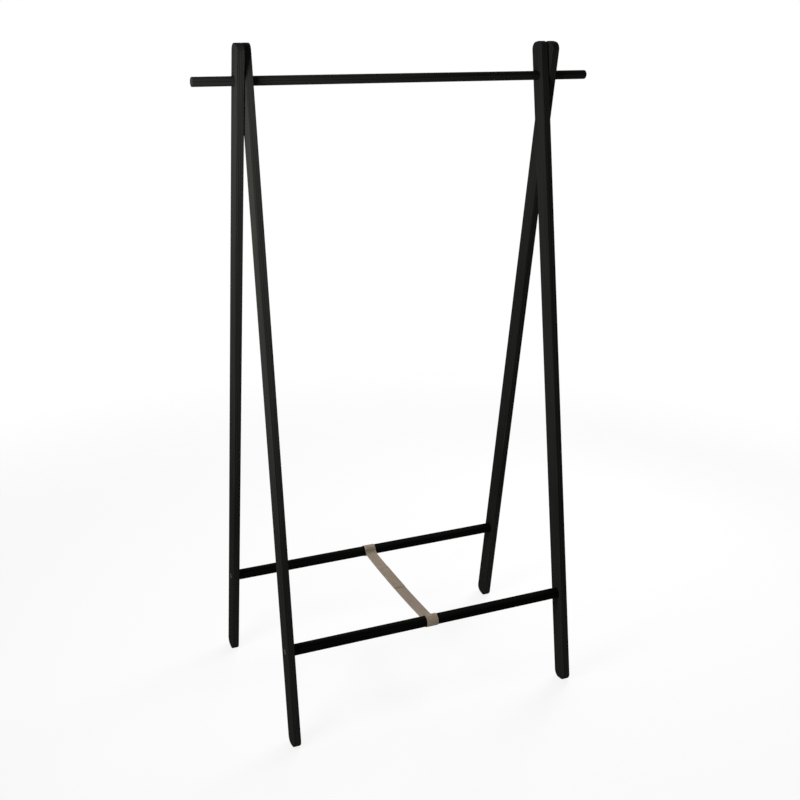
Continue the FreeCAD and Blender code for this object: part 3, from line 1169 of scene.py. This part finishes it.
@dataclass(frozen=True)
class SoftBox:
    """A square studio lamp behind a diffuser.

    Attributes:
        name: the lamp's name.
        place: where it hangs.
        aim: the point that it is turned to.
        size: the length of its sides.
        watts: its power.
    """

    name: str
    place: Triple
    aim: Triple
    size: float
    watts: float

    def hang(self) -> None:
        """Adds the lamp, turned to its aim."""
        lamp = bpy.data.lights.new(self.name, "AREA")
        lamp.shape = "SQUARE"
        lamp.size = self.size
        lamp.energy = self.watts
        holder = bpy.data.objects.new(self.name, lamp)
        holder.location = self.place
        holder.rotation_euler = (Vector(self.aim) - Vector(self.place)).to_track_quat("-Z", "Y").to_euler()
        bpy.context.scene.collection.objects.link(holder)
        LOG.info("hung %s", self.name)


@dataclass(frozen=True)
class PhotoView:
    """The camera, fitted to the stand's outline in the photograph.

    Attributes:
        place: where it stands.
        yaw: its turn from +Y towards +X.
        pitch: its tilt above level.
        lens_mm: its focal length on a sensor 36 mm wide.
        shift: the frame's shift to the right and up, in widths of the frame.
    """

    place: Triple = (-0.9734, -2.2029, 1.5329)
    yaw: float = 22.258
    pitch: float = -16.497
    lens_mm: float = 48.994
    shift: Pair = (0.0365, -0.065)

    def set_up(self) -> None:
        """Adds the camera and makes it the scene's own."""
        camera = bpy.data.cameras.new("photo_view")
        camera.lens = self.lens_mm
        camera.shift_x, camera.shift_y = self.shift
        holder = bpy.data.objects.new("photo_view", camera)
        holder.location = self.place
        holder.rotation_euler = (math.radians(LEVEL + self.pitch), 0, math.radians(-self.yaw))
        bpy.context.scene.collection.objects.link(holder)
        bpy.context.scene.camera = holder


@dataclass(frozen=True)
class Studio:
    """A pale floor that fades into a white background, with soft lamps.

    Attributes:
        floor_radius: how far the floor reaches.
        floor_sides: the number of straight sides of its rim.
        fade_from: how far out it starts to fade into the background.
        fade_to: how far out it has faded.
        floor_colour: the floor's colour to the eye.
        bounce_colour: the colour that it throws back on the stand.
        glow: the share of plain white in the floor's look, the rest being lit and shaded.
        daylight: the strength of the light from all round.
        lamps: the lamps round the stand.
    """

    floor_radius: float = 5.0
    floor_sides: int = 96
    fade_from: float = 1.2
    fade_to: float = 2.5
    floor_colour: Colour = (0.90, 0.90, 0.90)
    bounce_colour: Colour = (0.70, 0.70, 0.70)
    glow: float = 0.86
    daylight: float = 0.115
    lamps: tuple[SoftBox, ...] = (
        SoftBox("left_lamp", place=(-1.06, -0.4, 1.34), aim=(-0.1, 0.0, 1.22), size=0.5, watts=16.0),
        SoftBox("right_lamp", place=(1.45, 0.75, 1.20), aim=(0.1, 0.0, 0.95), size=0.6, watts=20.0),
        SoftBox("top_lamp", place=(0.9, 1.2, 2.9), aim=(0.0, 0.0, 0.2), size=1.6, watts=43.0),
    )

    def set_up(self) -> None:
        """Lays the floor, hangs the lamps and paints the background."""
        bpy.context.scene.view_settings.view_transform = "Standard"
        self._lay_floor()
        self._paint_world()
        for lamp in self.lamps:
            lamp.hang()

    @staticmethod
    def _seen(recipe: Recipe) -> Shade:
        """1 on rays from the camera and on those that a shiny or clear surface sends on."""
        path = recipe.node("ShaderNodeLightPath", None, None, "Is Camera Ray")
        return path.larger(path.out("Is Glossy Ray")).larger(path.out("Is Transmission Ray"))

    def _lay_floor(self) -> None:
        """Adds the floor as a round sheet, with a look that fades outwards."""
        bpy.ops.object.select_all(action="DESELECT")
        bpy.ops.mesh.primitive_circle_add(
            vertices=self.floor_sides, radius=self.floor_radius, fill_type="NGON"
        )
        floor = bpy.context.object
        floor.name = "floor"
        material, recipe = new_material("pale_floor")
        seen = self._seen(recipe)
        colour = recipe.mix(seen, self.bounce_colour, self.floor_colour)
        lit = recipe.node("ShaderNodeBsdfDiffuse", None, {"Color": colour})
        white = recipe.node("ShaderNodeEmission", None, {"Color": WHITE, "Strength": 1.0})
        clear = recipe.node("ShaderNodeBsdfTransparent")
        place = recipe.coordinates("Object")
        outwards = recipe.node("ShaderNodeVectorMath", {"operation": "LENGTH"}, {0: place}, "Value")
        shown = recipe.node("ShaderNodeMixShader", None, {0: self.glow * seen, 1: lit, 2: white})
        fade = seen * outwards.rise(self.fade_from, self.fade_to)
        look = recipe.node("ShaderNodeMixShader", None, {0: fade, 1: shown, 2: clear})
        recipe.node("ShaderNodeOutputMaterial", None, {"Surface": look})
        paint(floor, material)

    def _paint_world(self) -> None:
        """Makes the background white to the eye, and a soft light on the stand."""
        world = bpy.data.worlds.new("studio")
        world.use_nodes = True
        bpy.context.scene.world = world
        recipe = Recipe(world.node_tree)
        light = recipe.node("ShaderNodeBackground", None, {"Color": WHITE, "Strength": self.daylight})
        white = recipe.node("ShaderNodeBackground", None, {"Color": WHITE, "Strength": 1.0})
        look = recipe.node("ShaderNodeMixShader", None, {0: self._seen(recipe), 1: light, 2: white})
        recipe.node("ShaderNodeOutputWorld", None, {"Surface": look})


def main() -> None:
    """Finishes the stand's solids, makes its strap, and sets the floor, the light and the camera."""
    logging.basicConfig(level=logging.INFO, format="%(name)s: %(message)s")
    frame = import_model()
    nodes = frame["nodes"]
    fold = frame["joints"][0]
    _, _, pivot_height = fold["pos_m"]
    LegFrame("front", nodes, pivot_height, FRONT_LEG_SHADE).dress()
    LegFrame("back", nodes, pivot_height, BACK_LEG_SHADE).dress()
    Pivot(nodes).dress()
    Strap.from_frame().build()
    Studio().set_up()
    PhotoView().set_up()


if __name__ == "__main__":
    main()
